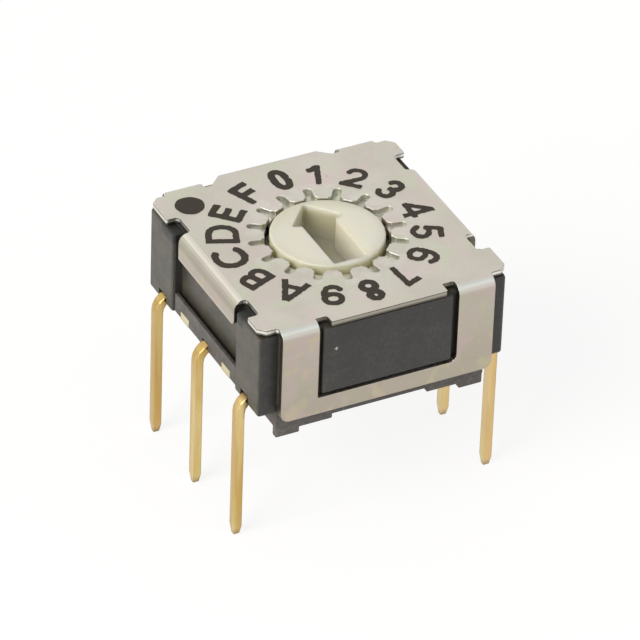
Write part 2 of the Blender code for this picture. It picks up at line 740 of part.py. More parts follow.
def common_outline(reach):
    """Ring under the rotor with an arm to each side that narrows to a pin."""
    root = math.degrees(math.asin(COMMON_HALF / COMMON_R))
    narrow = BASE_X - RIM_WALL
    arm = [(narrow, -COMMON_HALF), (narrow, -PIN_HALF), (reach, -PIN_HALF), (reach, PIN_HALF),
           (narrow, PIN_HALF), (narrow, COMMON_HALF)]
    shape = arm + arc((0, 0), COMMON_R, root, 180 - root, 12)
    shape += [(-x, -y) for x, y in arm]
    return shape + arc((0, 0), COMMON_R, 180 + root, 360 - root, 12)


CORNERS = {
    "lead_left_rear": (-1, 1),
    "lead_left_front": (-1, -1),
    "lead_right_rear": (1, 1),
    "lead_right_front": (1, -1),
}


def make_leads():
    flat_end = LEAD_REACH - 0.5 * LEAD_T
    leg_root = LEAD_REACH - ROOT
    for name, (sx, sy) in CORNERS.items():
        flat = prism(name + "_flat", [code_outline(sx, sy, flat_end, TIE_END)], LEAD_BOTTOM,
                     LEAD_TOP)
        fuse(flat, pin_solid(name + "_leg", sx, sy * PIN_PITCH, leg_root))
        finish(flat, name, GOLD)
    flat = prism("common_flat", [common_outline(flat_end)], LEAD_BOTTOM, LEAD_TOP)
    cut(flat, cylinder("common_eye", PIVOT_R + FIT, LEAD_BOTTOM - BEYOND, LEAD_TOP + BEYOND))
    for i, side in enumerate((-1, 1)):
        fuse(flat, pin_solid(f"common_leg_{i}", side, 0.0, leg_root))
    finish(flat, "lead_common", GOLD)


def lead_channels(room):
    """Room for the leads in the mouldings, as tools with a clearance beside them."""
    low = LEAD_BOTTOM - FIT
    high = LEAD_TOP + FIT
    out = PIN_OUT + BEYOND
    channels = []
    for name, (sx, sy) in CORNERS.items():
        outline = grown(code_outline(sx, sy, out, out), room)
        channels.append(prism(name + "_channel", [outline], low, high))
    channels.append(prism("common_channel", [grown(common_outline(out), room)], low, high))
    return channels


# Housing

def between(sign, near, far):
    """Two limits on one side of the middle, the lower first."""
    return tuple(sorted((sign * near, sign * far)))


def make_housing():
    housing = box("housing_body", (-WALL_X, WALL_X), (-WALL_Y, WALL_Y),
                  (WALL_BOTTOM, HOUSING_TOP))
    for i, side in enumerate((-1, 1)):
        panel = box(f"window_wall_{i}", (-PANEL_X, PANEL_X), between(side, WALL_Y - ROOT, PANEL_Y),
                    (WALL_BOTTOM + FIT, HOUSING_TOP - FIT))
        soften(panel, PAD_EDGE, 1, 60.0)
        fuse(housing, panel)
    for i, (sx, sy) in enumerate(CORNERS.values()):
        post = box(f"post_{i}", between(sx, WALL_X - ROOT, BODY_X), between(sy, POST_IN, BODY_Y),
                   (POST_BOTTOM, POST_TOP))
        soften(post, POST_EDGE, 2, 60.0)
        fuse(housing, post)
    half = LEG_IN - SNAP_GAP
    for i, side in enumerate((-1, 1)):
        pad = box(f"window_pad_{i}", (-half, half), between(side, BODY_Y - ROOT, PAD_FACE),
                  (SILL + 0.5 * SNAP_GAP, PLATE_UNDER - 0.5 * POST_DROP))
        soften(pad, PAD_EDGE, 2, 60.0)
        fuse(housing, pad)
    under = WALL_BOTTOM - BEYOND
    cut(housing, cylinder("bore", BORE_R, under, HOUSING_TOP + BEYOND, steps=ROUND_STEPS))
    nest = BASE_X + 2 * FIT
    cut(housing, box("base_nest", (-nest, nest), (-BODY_Y - BEYOND, BODY_Y + BEYOND),
                     (under, HOUSING_BOTTOM)))
    for i, side in enumerate((-1, 1)):
        cut(housing, box(f"rim_room_{i}", between(side, BASE_X - 4 * FIT, WALL_X + BEYOND),
                         (-POST_IN, POST_IN), (under, RIM_FLOOR + FIT)))
    for channel in lead_channels(LEAD_NOTCH):
        cut(housing, channel)
    return finish(housing, "housing", MOULDING)


# Base

def make_base():
    base = box("base_slab", (-BASE_X, BASE_X), (-BASE_Y, BASE_Y), (BASE_BOTTOM, LEAD_TOP))
    for i, (sx, sy) in enumerate(CORNERS.values()):
        foot = box(f"foot_{i}", between(sx, FOOT_IN, BASE_X),
                   between(sy, BASE_Y - FOOT_LONG, BASE_Y), (FOOT_BOTTOM, BASE_BOTTOM + ROOT))
        soften(foot, FOOT_EDGE, 2, 60.0)
        fuse(base, foot)
        step = box(f"step_{i}", between(sx, STEP_IN, FOOT_IN + 0.5 * ROOT),
                   between(sy, BASE_Y - STEP_LONG, BASE_Y), (STEP_BOTTOM, BASE_BOTTOM + 0.5 * ROOT))
        soften(step, 0.5 * FOOT_EDGE, 1, 60.0)
        fuse(base, step)
    for i, side in enumerate((-1, 1)):
        fuse(base, box(f"wing_{i}", between(side, BASE_X - 2 * FIT, RIM_X),
                       (-RIM_HALF, RIM_HALF), (RIM_BOTTOM, RIM_FLOOR)))
        fuse(base, box(f"rim_{i}", between(side, RIM_X - RIM_WALL, RIM_X),
                       (-RIM_HALF, RIM_HALF), (RIM_BOTTOM, RIM_TOP)))
    for channel in lead_channels(FIT):
        cut(base, channel)
    fuse(base, cylinder("pivot", PIVOT_R, LEAD_BOTTOM - SHEET, PIVOT_TOP))
    return finish(base, "base", BASE_MOULDING)


make_cover()
make_housing()
make_base()
rotor = make_rotor()
seal = make_seal()
detent = make_detent_spring()
wiper = make_contact_spring()
make_leads()

# What turns with the rotor hangs under one empty on the axis
axis = bpy.data.objects.new("rotor_axis", None)
axis.location = (0.0, 0.0, PLATE_TOP * MM)
parts.objects.link(axis)
bpy.context.view_layer.update()
for piece in (rotor, seal, detent, wiper):
    piece.parent = axis
    piece.matrix_parent_inverse = axis.matrix_world.inverted()
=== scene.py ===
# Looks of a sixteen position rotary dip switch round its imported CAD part.
# Sizes and places are in millimetres and are turned into metres where a mesh or a node is made.

import math

import bmesh
import bpy
import numpy as np
from mathutils import Matrix, Vector


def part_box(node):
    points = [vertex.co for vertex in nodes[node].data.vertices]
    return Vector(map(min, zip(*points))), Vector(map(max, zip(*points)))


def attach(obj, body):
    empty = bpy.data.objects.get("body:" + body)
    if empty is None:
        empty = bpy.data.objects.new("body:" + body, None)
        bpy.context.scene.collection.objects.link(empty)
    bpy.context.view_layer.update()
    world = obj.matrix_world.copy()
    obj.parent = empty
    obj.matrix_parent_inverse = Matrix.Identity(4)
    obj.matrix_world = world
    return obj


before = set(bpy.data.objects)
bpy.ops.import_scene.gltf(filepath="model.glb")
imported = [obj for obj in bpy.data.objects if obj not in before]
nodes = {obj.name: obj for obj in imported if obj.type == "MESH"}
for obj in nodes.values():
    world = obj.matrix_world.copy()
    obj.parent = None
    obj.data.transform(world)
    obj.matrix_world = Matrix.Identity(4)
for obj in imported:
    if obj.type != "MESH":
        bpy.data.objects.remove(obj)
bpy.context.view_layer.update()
scene = bpy.context.scene

MM = 0.001
TINY = 1e-9

# Places on the part, heights above the pin tips
PLATE_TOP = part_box("cover")[1].z / MM
KNOB_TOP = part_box("rotor")[1].z / MM
SHEET = 0.16                          # thickness of the cover
FOLD = 3.45                           # further out in x or y the cover is folded down
FLANGE_LOW = PLATE_TOP - 0.78         # lower edge of a side flange
FLANGE_HALF = 2.0                     # a side flange ends within it, in y
TONGUE_HALF = 2.2                     # edge of the plate above a window ends within it, in x
GROOVE_RING = 2.33                    # the detent grooves end within it, from the middle
POST_TOP = PLATE_TOP - 0.25           # corner posts of the housing
PANEL_FACE = -3.4                     # behind the face of the front panel, in y
SPECK_X, SPECK_Z = -1.549, 6.204      # pale speck on the front panel
GATE_X, GATE_Y = -0.64, 0.38          # gate mark on top of the knob
SLOT_END = 1.50                       # the slot ends within it, from the middle
RIM = 1.62                            # just past the edge of the knob, from the middle
STUB_Y = 1.27                         # cut tie bar stubs, halfway between two pins
STUB_HALF = 0.36                      # they end within it, from there
BASE_SIDE = 3.2                       # further out in x the leads can be seen
LAMP_AIM = 6.0                        # the lamps look at this height

LEADS = ("lead_left_rear", "lead_left_front", "lead_right_rear", "lead_right_front",
         "lead_common")

# Camera of the photograph: angles in degrees, and the frame's origin as the camera sees it
AZIMUTH, ELEVATION, ROLL = -27.715, 35.335, 2.114
ORIGIN_SEEN = (-0.011, -3.492, -156.762)
PICTURE_PIXELS = 640
FOCAL_PIXELS = 5687.75
SENSOR = 36.0


def place_camera():
    azimuth, elevation, roll = (math.radians(a) for a in (AZIMUTH, ELEVATION, ROLL))
    back = Vector((math.sin(azimuth) * math.cos(elevation),
                   -math.cos(azimuth) * math.cos(elevation), math.sin(elevation)))
    right = Vector((math.cos(azimuth), math.sin(azimuth), 0.0))
    up = back.cross(right)
    c, s = math.cos(roll), math.sin(roll)
    turn = Matrix((c * right + s * up, -s * right + c * up, back)).transposed()
    data = bpy.data.cameras.new("camera")
    data.sensor_width = SENSOR
    data.lens = FOCAL_PIXELS / PICTURE_PIXELS * SENSOR
    data.clip_start = 0.001
    data.clip_end = 10.0
    camera = bpy.data.objects.new("camera", data)
    scene.collection.objects.link(camera)
    place = turn.to_4x4()
    place.translation = -(turn @ (Vector(ORIGIN_SEEN) * MM))
    camera.matrix_world = place
    scene.camera = camera


# Node helpers

class Tree:
    """Short ways to build the node tree of a material or a world."""

    def __init__(self, owner, output):
        owner.use_nodes = True
        self.tree = owner.node_tree
        self.tree.nodes.clear()
        self.output = self.node(output)

    def link(self, source, socket):
        """Links a socket, or sets a plain value on the socket itself."""
        if isinstance(source, bpy.types.NodeSocket):
            self.tree.links.new(source, socket)
        else:
            socket.default_value = source

    def node(self, kind, **inputs):
        """New node, with inputs by name and an underscore for each space."""
        made = self.tree.nodes.new("ShaderNode" + kind)
        for name, value in inputs.items():
            self.link(value, made.inputs[name.replace("_", " ")])
        return made

    def math(self, operation, a, b=0.0):
        made = self.node("Math")
        made.operation = operation
        self.link(a, made.inputs[0])
        self.link(b, made.inputs[1])
        return made.outputs["Value"]

    def largest(self, *values):
        result = values[0]
        for value in values[1:]:
            result = self.math("MAXIMUM", result, value)
        return result

    def directly_seen(self):
        """1 for what the camera sees, also in a mirror or through glass, and 0 for light."""
        path = self.node("LightPath").outputs
        return self.largest(path["Is Camera Ray"], path["Is Glossy Ray"],
                            path["Is Transmission Ray"])

    def blend_shaders(self, amount, first, second):
        made = self.node("MixShader", Fac=amount)
        self.link(first, made.inputs[1])
        self.link(second, made.inputs[2])
        self.show(made.outputs["Shader"])

    def show(self, shader):
        self.link(shader, self.output.inputs["Surface"])


class Surface(Tree):
    """Material whose colour is painted on in layers.

    x, y, z is the place in millimetres and nx, ny, nz the way that the surface faces.
    off_x, off_y, steep_x, steep_y and steep_z are the same without their signs, and radius
    is the distance from the upright axis. A mask runs from 0 to 1.
    """

    def __init__(self, name):
        self.material = bpy.data.materials.new(name)
        super().__init__(self.material, "OutputMaterial")
        self.x, self.y, self.z = self.split(self.place())
        self.nx, self.ny, self.nz = self.split(self.node("NewGeometry").outputs["Normal"])
        self.off_x, self.off_y = self.unsigned(self.x), self.unsigned(self.y)
        self.steep_x, self.steep_y, self.steep_z = (
            self.unsigned(n) for n in (self.nx, self.ny, self.nz))
        self.radius = self.math("SQRT", self.math("ADD", self.times(self.x, self.x),
                                                  self.times(self.y, self.y)))
        self.colour = None

    def place(self, scale=(1, 1, 1), move=(0, 0, 0)):
        """Object coordinates in millimetres, scaled and moved."""
        made = self.node("Mapping", Vector=self.node("TexCoord").outputs["Object"],
                         Scale=[s / MM for s in scale], Location=move)
        return made.outputs["Vector"]

    def split(self, vector):
        return list(self.node("SeparateXYZ", Vector=vector).outputs)

    def unsigned(self, value):
        return self.math("ABSOLUTE", value)

    def gap(self, value, middle):
        return self.unsigned(self.math("SUBTRACT", value, middle))

    def inverse(self, mask):
        return self.math("SUBTRACT", 1.0, mask)

    def times(self, *values):
        result = values[0]
        for value in values[1:]:
            result = self.math("MULTIPLY", result, value)
        return result

    def above(self, value, limit):
        return self.math("GREATER_THAN", value, limit)

    def below(self, value, limit):
        return self.math("LESS_THAN", value, limit)

    def ramp(self, value, low, high, start, end):
        """Runs smoothly from start to end while the value goes from low to high."""
        made = self.node("MapRange", Value=value, From_Min=low, From_Max=high,
                         To_Min=start, To_Max=end)
        made.interpolation_type = "SMOOTHSTEP"
        return made.outputs["Result"]

    def rise(self, value, low, high, strength=1.0):
        return self.ramp(value, low, high, 0.0, strength)

    def fall(self, value, low, high, strength=1.0):
        return self.ramp(value, low, high, strength, 0.0)

    def noise(self, scale, detail=2.0, rough=0.5, shift=0.0, warp=0.0):
        """Noise at scale per millimetre, moved away from other noise by its shift."""
        where = self.place(move=(shift, shift * 0.7, shift * 1.3))
        return self.noise_at(where, scale, detail, rough, warp)

    def noise_at(self, where, scale=1.0, detail=2.0, rough=0.5, warp=0.0):
        made = self.node("TexNoise", Vector=where, Scale=scale, Detail=detail, Roughness=rough,
                         Distortion=warp)
        return made.outputs["Fac"]

    def cell_distance(self, scale):
        """Distance to the nearest of points that are scattered at random."""
        return self.node("TexVoronoi", Vector=self.place(), Scale=scale).outputs["Distance"]

    def mix(self, amount, a, b):
        made = self.node("Mix")
        made.data_type = "RGBA"
        made.clamp_factor = True
        self.link(amount, made.inputs["Factor"])
        for colour, socket in ((a, made.inputs[6]), (b, made.inputs[7])):
            self.link(colour if isinstance(colour, bpy.types.NodeSocket) else (*colour, 1.0),
                      socket)
        return made.outputs[2]

    def paint(self, colour, *masks):
        """Lays a colour over the ones below, as strong as the product of its masks."""
        self.colour = self.mix(self.times(*masks), self.colour, colour)

    def softened(self, radius, samples=6):
        """Normal that runs smoothly over the edges within a radius in millimetres."""
        made = self.node("Bevel", Radius=self.times(radius, MM))
        made.samples = samples
        return made.outputs["Normal"]

    def hollow(self, distance):
        """1 in the open, falling to 0 in corners and gaps."""
        made = self.node("AmbientOcclusion")
        made.samples = 12
        made.inputs["Distance"].default_value = distance * MM
        return made.outputs["AO"]

    def bump(self, height, strength, distance, normal=None):
        made = self.node("Bump", Height=height, Strength=strength, Distance=distance * MM)
        if normal is not None:
            self.link(normal, made.inputs["Normal"])
        return made.outputs["Normal"]

    def finish(self, roughness, normal=None, metallic=0.0, **inputs):
        shader = self.node("BsdfPrincipled", Base_Color=self.colour, Roughness=roughness,
                           Metallic=metallic, **inputs)
        if normal is not None:
            self.link(normal, shader.inputs["Normal"])
        self.show(shader.outputs["BSDF"])
        return self.material


def srgb(r, g, b):
    """Linear colour from the numbers of a picture."""
    return tuple(((c / 255 + 0.055) / 1.055) ** 2.4 if c > 10 else c / 255 / 12.92
                 for c in (r, g, b))


def brighter(colour, factor):
    return tuple(c * factor for c in colour)


# Stainless steel of the cover

def steel():
    """Rolled sheet: warm grey with faint mottling, sheared at its edges, folded and pressed."""
    n = Surface("satin_steel")
    broad = n.noise(0.55, shift=3.1)
    n.colour = n.mix(n.rise(broad, 0.35, 0.65), srgb(198, 192, 180), srgb(206, 200, 190))
    green = n.noise(0.9, 1.5, shift=11.7)
    n.paint(srgb(199, 203, 180), n.rise(green, 0.48, 0.66, 0.60))
    pink = n.noise(1.1, 1.5, shift=31.9)
    n.paint(srgb(210, 192, 189), n.rise(pink, 0.52, 0.68, 0.50))
    streak = n.noise_at(n.place(scale=(1.0, 9.0, 9.0)), 7.0, 3.0, 0.65)
    n.paint(srgb(166, 160, 147), n.rise(streak, 0.40, 0.75, 0.22))
    stain = n.noise(1.3, 4.0, 0.6, shift=27.0, warp=0.6)
    n.paint(srgb(174, 160, 136), n.rise(stain, 0.62, 0.74, 0.25))
    tint_folds(n)
    level = paint_cuts(n)
    groove_shading = paint_groove_light_and_shade(n, level)
    fine = n.noise(60.0, rough=0.6)
    shoulder = n.softened(n.ramp(n.radius, 2.30, 2.45, 0.065, 0.025))
    normal = n.bump(fine, 0.12, 0.004, n.bump(streak, 0.10, 0.01, shoulder))
    rough = n.math("ADD", n.ramp(broad, 0.3, 0.7, 0.34, 0.40), n.rise(streak, 0.3, 0.7, 0.06))
    # less metallic where the groove shading is painted
    return n.finish(rough, normal, n.inverse(n.times(groove_shading, 0.85)))


def tint_folds(n):
    """Painted shade on what is folded down, stronger towards its foot, with lilac and straw
    mottles on it, and painted highlights and shade along the folds.
    """
    upright = n.times(n.fall(n.steep_z, 0.2, 0.8),
                      n.fall(n.z, PLATE_TOP - 0.30, PLATE_TOP - SHEET))
    # painted shade on the folded-down faces, darker towards their foot
    n.paint(srgb(166, 155, 137), upright, n.ramp(n.z, 4.6, 6.7, 0.66, 0.46))
    lilac = n.noise(1.3, shift=51.0)
    n.paint(srgb(196, 176, 174), upright, n.rise(lilac, 0.47, 0.60, 0.45))
    straw = n.noise(1.9, shift=61.0)
    n.paint(srgb(200, 190, 150), upright, n.rise(straw, 0.54, 0.66, 0.40))
    # painted highlight, cool grey-white, on the folds of the front and back
    fold_highlight = n.times(n.rise(n.steep_y, 0.20, 0.45), n.fall(n.steep_y, 0.80, 0.97))
    n.paint(srgb(186, 191, 187), fold_highlight, 0.7)
    # painted highlight along the fold of the left flange
    crest = n.times(n.rise(n.steep_x, 0.01, 0.10), n.fall(n.steep_x, 0.40, 0.62))
    left_fold = n.times(n.below(n.x, -3.2), n.above(n.z, PLATE_TOP - 0.4))
    n.paint(srgb(222, 214, 203), crest, left_fold, 0.60)
    flange = n.above(n.off_x, FOLD)
    # painted shade in a band on the upper part of the side flanges
    upper = n.rise(n.z, FLANGE_LOW + 0.27, FLANGE_LOW + 0.49, 0.42)
    n.paint(srgb(142, 134, 119), n.rise(n.steep_x, 0.52, 0.80), upper, flange)
    # painted light along the lower edge of the side flanges
    lowest = n.fall(n.z, FLANGE_LOW + 0.03, FLANGE_LOW + 0.13, 0.22)
    n.paint(srgb(226, 220, 208), n.rise(n.steep_x, 0.60, 0.80), flange, lowest)


def paint_cuts(n):
    """Sheared edges, scored and darkened by painted shade, with a painted highlight strip round
    the plate.

    Gives back the mask of the level ones, which lie at the top and foot of what is folded.
    """
    past_x, past_y = (n.above(v, FOLD) for v in (n.off_x, n.off_y))
    rim = n.times(n.below(n.steep_z, 0.35), n.above(n.z, PLATE_TOP - SHEET - 0.01),
                  n.above(n.radius, 2.40))
    frame_sides = n.times(n.above(n.steep_x, 0.6), past_y, n.below(n.z, PLATE_TOP - 0.15))
    flange_ends = n.times(n.above(n.steep_y, 0.6), past_x, n.below(n.off_y, FLANGE_HALF))
    level = n.times(n.above(n.steep_z, 0.6), n.below(n.z, PLATE_TOP - 0.3),
                    n.largest(past_x, past_y))
    # painted highlight strip along the top of the cut, brightest above the windows, and painted
    # shade below it
    strip = n.times(n.rise(n.z, PLATE_TOP - 0.12, PLATE_TOP - 0.10),
                    n.fall(n.z, PLATE_TOP - 0.04, PLATE_TOP - 0.02))
    over_window = n.times(n.below(n.off_x, TONGUE_HALF), n.above(n.off_y, 3.0))
    shine = n.mix(over_window, srgb(226, 226, 218), srgb(160, 157, 144))
    cut = n.mix(strip, srgb(118, 112, 102), shine)
    scored = n.noise_at(n.place(scale=(4.0, 4.0, 0.4)), 9.0, 3.0, 0.7)
    cut = n.mix(n.times(n.rise(scored, 0.35, 0.65, 0.5), n.inverse(strip)), cut,
                srgb(84, 80, 72))
    cut = n.mix(level, cut, srgb(184, 179, 168))
    n.paint(cut, n.largest(rim, frame_sides, flange_ends, level))
    return level


def paint_groove_light_and_shade(n, level):
    """Painted sheen round the pressed grooves, painted shade in them and in patches inside them,
    and painted shade in other corners.

    Gives back the mask of the painted groove shading.
    """
    air = n.hollow(0.14)
    ring = n.times(n.below(n.radius, GROOVE_RING),
                   n.rise(n.z, PLATE_TOP - 0.23, PLATE_TOP - 0.13))
    groove_shading = n.times(n.fall(air, 0.58, 0.97), ring)
    pressed = n.times(n.fall(n.radius, 2.30, 2.50),
                      n.rise(n.z, PLATE_TOP - 0.13, PLATE_TOP - 0.08))
    # painted sheen highlight round the pressed grooves
    sheen = n.noise(2.2, shift=93.0)
    n.paint(srgb(222, 224, 213), pressed, n.rise(sheen, 0.42, 0.60, 0.22))
    # painted shade in other corners and gaps, laid by their occlusion
    n.paint(srgb(96, 98, 84), n.fall(air, 0.25, 0.80, 0.45), n.inverse(n.largest(ring, level)))
    # painted shade laid into the grooves by their occlusion, where the metal is also made less
    # metallic
    n.paint(srgb(180, 183, 169), groove_shading)
    # painted shade in patches inside the grooves
    shade_patches = n.noise(3.1, shift=101.0)
    n.paint(srgb(122, 126, 112), groove_shading, n.rise(shade_patches, 0.44, 0.58, 0.70))
    return groove_shading


# Filled plastic of the housing and the base

def mottled_plastic(name, dark, light, specks):
    """Dark plastic with mottling, rubbed patches, flecks and dust specks, and its mottling."""
    n = Surface(name)
    broad = n.noise(0.8, 3.0, 0.55, shift=5.3)
    n.colour = n.mix(n.rise(broad, 0.3, 0.7), dark, light)
    mottle = n.noise(4.0, 4.0, 0.65, shift=1.9)
    n.paint(brighter(light, 1.7), n.rise(mottle, 0.45, 0.75, 0.35))
    rubbed = n.noise(1.7, 4.0, 0.6, shift=17.3, warp=0.8)
    n.paint(brighter(light, 1.9), n.rise(rubbed, 0.55, 0.72, 0.35))
    flecks = n.noise(9.0, 3.0, 0.6, shift=83.0)
    n.paint(brighter(dark, 0.55), n.fall(flecks, 0.40, 0.62, 0.45))
    pick = n.noise(1.1, 0.0, shift=41.0)
    n.paint(srgb(150, 148, 142), n.fall(n.cell_distance(2.2), 0.02, 0.05),
            n.rise(pick, 0.50, 0.56), specks)
    return n, mottle


def paint_gap_shade(n):
    """Painted shade in the gaps and close below the cover. Gives back its mask."""
    under_cover = n.times(n.rise(n.steep_z, 0.5, 0.8),
                          n.rise(n.z, POST_TOP - 0.08, POST_TOP - 0.04))
    gap_shade = n.largest(under_cover, n.fall(n.hollow(0.45), 0.35, 0.85, 0.7))
    # painted shade in the gaps and close below the cover
    n.paint(srgb(42, 38, 30), gap_shade)
    return gap_shade


def finish_plastic(n, mottle, rough, gap_shade):
    """Fine grain, and a surface that is rougher where the gap shade is painted."""
    roughness = n.math("ADD", n.ramp(mottle, 0.3, 0.7, rough - 0.04, rough + 0.06),
                       n.times(gap_shade, 0.3))
    grain = n.noise(38.0, rough=0.65)
    normal = n.bump(grain, 0.28, 0.010, n.bump(mottle, 0.15, 0.02, n.softened(0.035)))
    return n.finish(roughness, normal)


def base_plastic():
    n, mottle = mottled_plastic("base_plastic", srgb(71, 68, 66), srgb(92, 88, 85), 0.5)
    return finish_plastic(n, mottle, 0.48, paint_gap_shade(n))


def housing_plastic():
    n, mottle = mottled_plastic("housing_plastic", srgb(46, 46, 44), srgb(58, 57, 54), 0.8)
    light_sides_shade_ends(n)
    add_speck(n)
    gap_shade = paint_gap_shade(n)
    shade_notches(n)
    return finish_plastic(n, mottle, 0.42, gap_shade)


def light_sides_shade_ends(n):
    """Painted light, brownish and greenish, on the left and right sides, and painted shade on the
    upper halves of the ends.
    """
    sides = n.rise(n.steep_x, 0.7, 0.9)
    brown_light = n.noise(1.4, 3.0, 0.6, shift=63.0)
    # painted light, brownish, on the left and right sides
    n.paint(srgb(80, 73, 61), sides, n.ramp(brown_light, 0.3, 0.7, 0.20, 0.80))
    green_light = n.noise(1.8, 3.0, 0.6, shift=71.0)
    # painted light, greenish, on the left and right sides
    n.paint(srgb(70, 76, 60), sides, n.rise(green_light, 0.50, 0.65, 0.45))
    # painted shade on the upper halves of the front and back faces
    n.paint(srgb(34, 31, 31), n.rise(n.steep_y, 0.7, 0.9), n.ramp(n.z, 5.6, 6.7, 0.10, 0.40))


def add_speck(n):
    """Pale speck with four points on the front panel."""
    off_x, off_z = n.gap(n.x, SPECK_X), n.gap(n.z, SPECK_Z)
    star = n.times(n.fall(n.math("ADD", off_x, off_z), 0.045, 0.075),
                   n.fall(n.math("MINIMUM", off_x, off_z), 0.010, 0.022),
                   n.below(n.y, PANEL_FACE))
    n.paint(srgb(196, 190, 182), star, 0.8)


def shade_notches(n):
    """Painted shade in the hollows below the notches beside the side flanges."""
    shorter = n.times(n.below(n.times(n.x, n.y), 0.0), 0.30)
    hollow = n.times(n.fall(n.math("SUBTRACT", n.off_y, shorter), 2.30, 2.40),
                     n.rise(n.z, POST_TOP - 0.38, POST_TOP - 0.22),
                     n.above(n.off_y, 1.5), n.above(n.off_x, 3.0))
    n.paint(srgb(20, 21, 16), hollow, 0.9)


# Cream plastic of the rotor

def cream():
    """Cream moulding with olive painted shade in its slot."""
    n = Surface("cream_moulding")
    broad = n.noise(0.9, shift=8.8)
    n.colour = n.mix(n.rise(broad, 0.3, 0.7), srgb(215, 211, 197), srgb(211, 211, 200))
    fine = n.noise(22.0, 3.0, 0.6)
    n.paint(srgb(200, 192, 160), n.rise(fine, 0.50, 0.80, 0.15))
    shade_slot(n)
    mark_top(n)
    edges = shade_rounded_edges(n)
    return n.finish(n.ramp(fine, 0.3, 0.7, 0.34, 0.46), n.bump(fine, 0.12, 0.008, edges),
                    Subsurface_Weight=0.50, Subsurface_Scale=1.0,
                    Subsurface_Radius=(1.1 * MM, 0.9 * MM, 0.40 * MM))


def shade_slot(n):
    """Olive painted shade in the slot, weaker on its left and right walls, at its tail and at its
    foot.
    """
    deep = n.fall(n.z, KNOB_TOP - 0.26, KNOB_TOP - 0.01, 0.95)
    walls = n.times(n.ramp(n.nx, -0.97, -0.86, 0.14, 0.54), n.ramp(n.nx, 0.3, 0.7, 1.0, 0.08))
    shaded_faces = n.largest(walls, n.rise(n.nz, 0.5, 0.9, 0.60))
    tail = n.ramp(n.y, -0.9, 0.6, 0.22, 1.0)
    foot = n.ramp(n.z, KNOB_TOP - 0.90, KNOB_TOP - 0.45, 0.72, 1.0)
    # painted olive shade below the top of the slot
    n.paint(srgb(126, 118, 46), deep, n.below(n.radius, SLOT_END), shaded_faces, tail, foot)


def mark_top(n):
    """Gate mark beside the slot, yellowish side of the knob, darker rim and rear of the top."""
    mark = n.largest(n.gap(n.x, GATE_X), n.times(n.gap(n.y, GATE_Y), 1.3))
    n.paint(srgb(222, 211, 188), n.fall(mark, 0.14, 0.22, 0.5))
    n.paint(srgb(208, 206, 156), n.rise(n.radius, RIM - 0.17, RIM),
            n.fall(n.z, KNOB_TOP - 0.14, KNOB_TOP - 0.02, 0.55))
    top = n.above(n.z, KNOB_TOP - 0.02)
    n.paint(srgb(188, 182, 160), top, n.rise(n.radius, RIM - 0.42, RIM, 0.40))
    n.paint(srgb(190, 186, 150), top, n.rise(n.y, 0.5, 1.2, 0.28))


def shade_rounded_edges(n):
    """Painted shade on rounded edges, most on the slot's worn right one and on the knob's rim.
    Gives back the normal.
    """
    worn = n.times(n.rise(n.x, 0.05, 0.20), n.fall(n.y, 0.6, 0.9), n.fall(n.off_x, 0.8, 0.9))
    rounded = n.softened(n.ramp(worn, 0.0, 1.0, 0.050, 0.220), 12)
    facing_x, _, facing_z = n.split(rounded)
    lean_shade = n.times(n.fall(facing_x, -0.28, -0.06), n.ramp(facing_x, -0.95, -0.62, 0.25, 1.0))
    # painted shade where the slot's rounded right edge leans towards the light
    n.paint(srgb(176, 169, 134), lean_shade, worn, 0.42)
    # painted shade on the rounded rim of the knob
    n.paint(srgb(184, 182, 156), n.fall(facing_z, 0.90, 0.98),
            n.rise(n.radius, RIM - 0.12, RIM - 0.09), 0.35)
    return rounded


# Metal of the leads and springs, rubber and ink

def gold():
    """Gold plating in soft bands along the strip, with painted shade at the rear left and at its
    root, and painted light towards the right.
    """
    n = Surface("gold_plated")
    bands = n.noise_at(n.place(scale=(3.4, 3.4, 0.30)))
    n.colour = n.mix(n.rise(bands, 0.36, 0.64), srgb(200, 166, 98), srgb(222, 198, 138))
    blush = n.noise_at(n.place(scale=(2.2, 2.2, 0.40), move=(9.0, 4.0, 2.0)))
    n.paint(srgb(216, 174, 122), n.rise(blush, 0.50, 0.66, 0.55))
    green = n.noise_at(n.place(scale=(2.6, 2.6, 0.45), move=(3.0, 8.0, 5.0)))
    n.paint(srgb(198, 190, 108), n.rise(green, 0.50, 0.66, 0.50))
    streak = n.noise_at(n.place(scale=(12.0, 12.0, 0.6)), 1.6, 3.0, 0.6)
    n.paint(srgb(204, 168, 106), n.rise(streak, 0.45, 0.75, 0.30))
    # painted shade on the leads at the rear left
    n.paint(srgb(182, 150, 84), n.fall(n.x, -3.9, 0.0, 0.36), n.rise(n.y, 0.8, 2.2))
    # painted light on the leads, growing towards the right
    n.paint(srgb(228, 200, 150), n.rise(n.x, -5.0, 4.5, 0.45))
    # painted shade in hollows and at the root of the leads by the housing, strongest at the front
    n.paint(srgb(84, 66, 44), n.fall(n.hollow(0.5), 0.25, 0.75, 0.75))
    n.paint(srgb(92, 72, 48), n.fall(n.off_x, 3.62, 3.80), n.rise(n.z, 3.80, 4.0),
            n.ramp(n.y, -2.3, -0.8, 0.80, 0.22))
    n.paint(srgb(236, 230, 196), n.above(n.off_x, BASE_SIDE),
            n.fall(n.gap(n.off_y, STUB_Y), STUB_HALF, STUB_HALF + 0.06, 0.70))
    normal = n.bump(streak, 0.08, 0.006, n.softened(0.07))
    return n.finish(n.ramp(streak, 0.3, 0.7, 0.24, 0.34), normal, 1.0)


def spring():
    n = Surface("spring_strip")
    streak = n.noise_at(n.place(scale=(1.0, 9.0, 9.0)), 1.5, 3.0, 0.6)
    n.colour = n.mix(n.rise(streak, 0.3, 0.7), srgb(170, 168, 162), srgb(188, 186, 180))
    return n.finish(n.ramp(streak, 0.3, 0.7, 0.25, 0.35), metallic=1.0)


